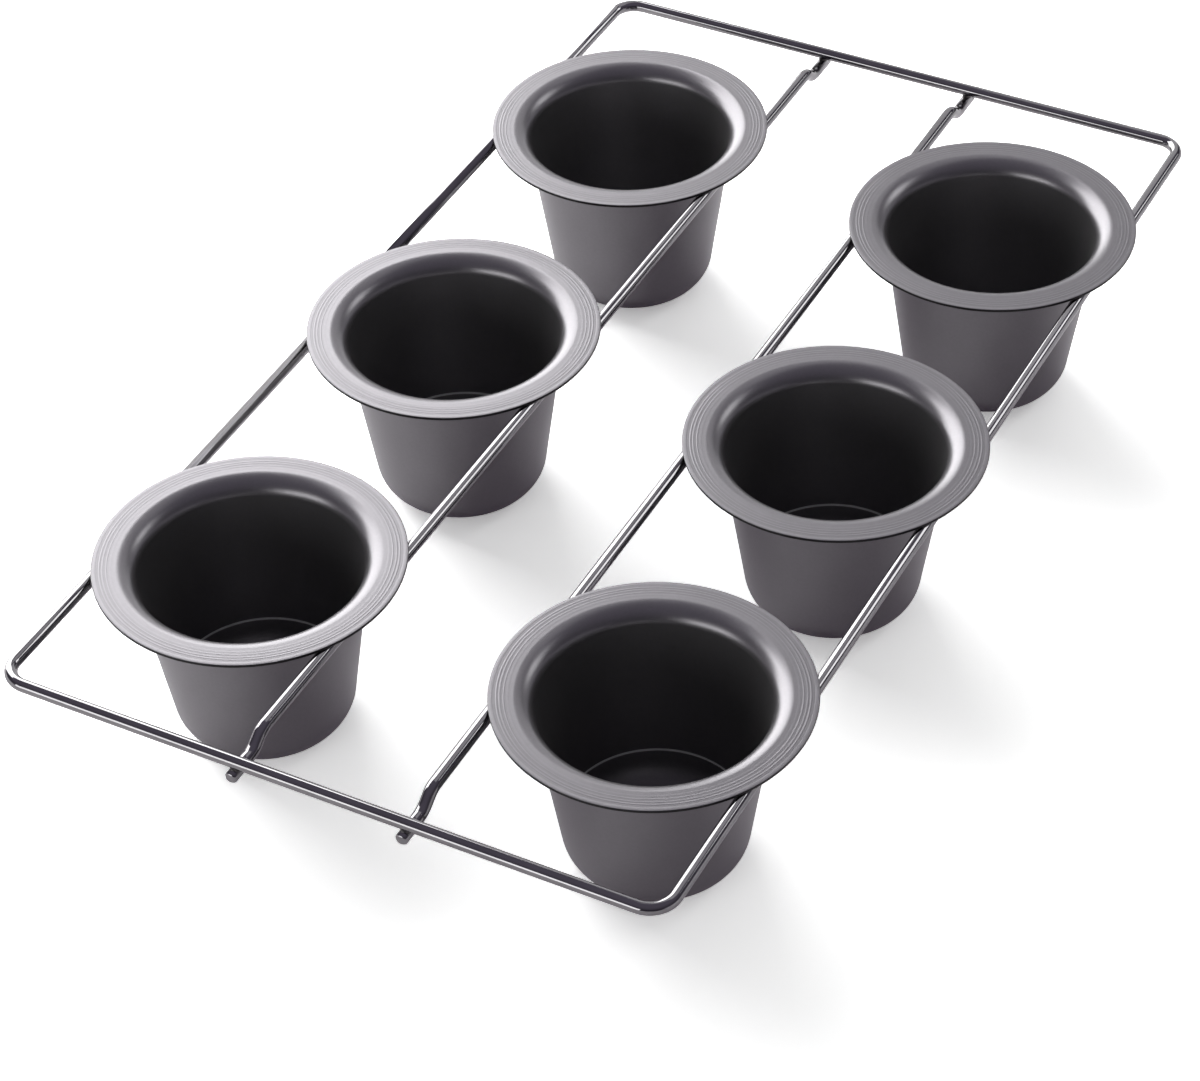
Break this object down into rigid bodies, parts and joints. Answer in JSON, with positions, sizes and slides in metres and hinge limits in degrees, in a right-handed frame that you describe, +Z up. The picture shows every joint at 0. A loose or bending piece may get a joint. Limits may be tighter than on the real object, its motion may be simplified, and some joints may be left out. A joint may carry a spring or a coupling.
{
  "type": "popover pan",
  "caption": "Popover pan: deep tapered sheet steel cups in two rows, hung by their flared rims in a welded wire frame.",
  "frame": {"origin": "on the table under the middle of the pan, at the level of the cups' bottoms", "axes": "+X across the two rows of cups, +Y along a row from front to back, +Z up"},
  "size_m": [0.23, 0.4044, 0.064],
  "materials": {
    "cup_steel": "satin grey coating over drawn sheet steel",
    "frame_wire": "dark bright-plated drawn wire",
    "weld_steel": "satin, plated over with the wire"
  },
  "bodies": {
    "root": {"cup_front_left": "cup_steel", "cup_mid_left": "cup_steel", "cup_back_left": "cup_steel", "cup_front_right": "cup_steel", "cup_mid_right": "cup_steel", "cup_back_right": "cup_steel", "spot_welds_front_left": "weld_steel", "spot_welds_mid_left": "weld_steel", "spot_welds_back_left": "weld_steel", "spot_welds_front_right": "weld_steel", "spot_welds_mid_right": "weld_steel", "spot_welds_back_right": "weld_steel", "outer_frame": "frame_wire", "frame_butt_weld": "weld_steel", "inner_rail_left": "frame_wire", "inner_rail_right": "frame_wire", "rail_end_weld_front_left": "weld_steel", "rail_end_weld_front_right": "weld_steel", "rail_end_weld_back_left": "weld_steel", "rail_end_weld_back_right": "weld_steel"}
  },
  "joints": []
}
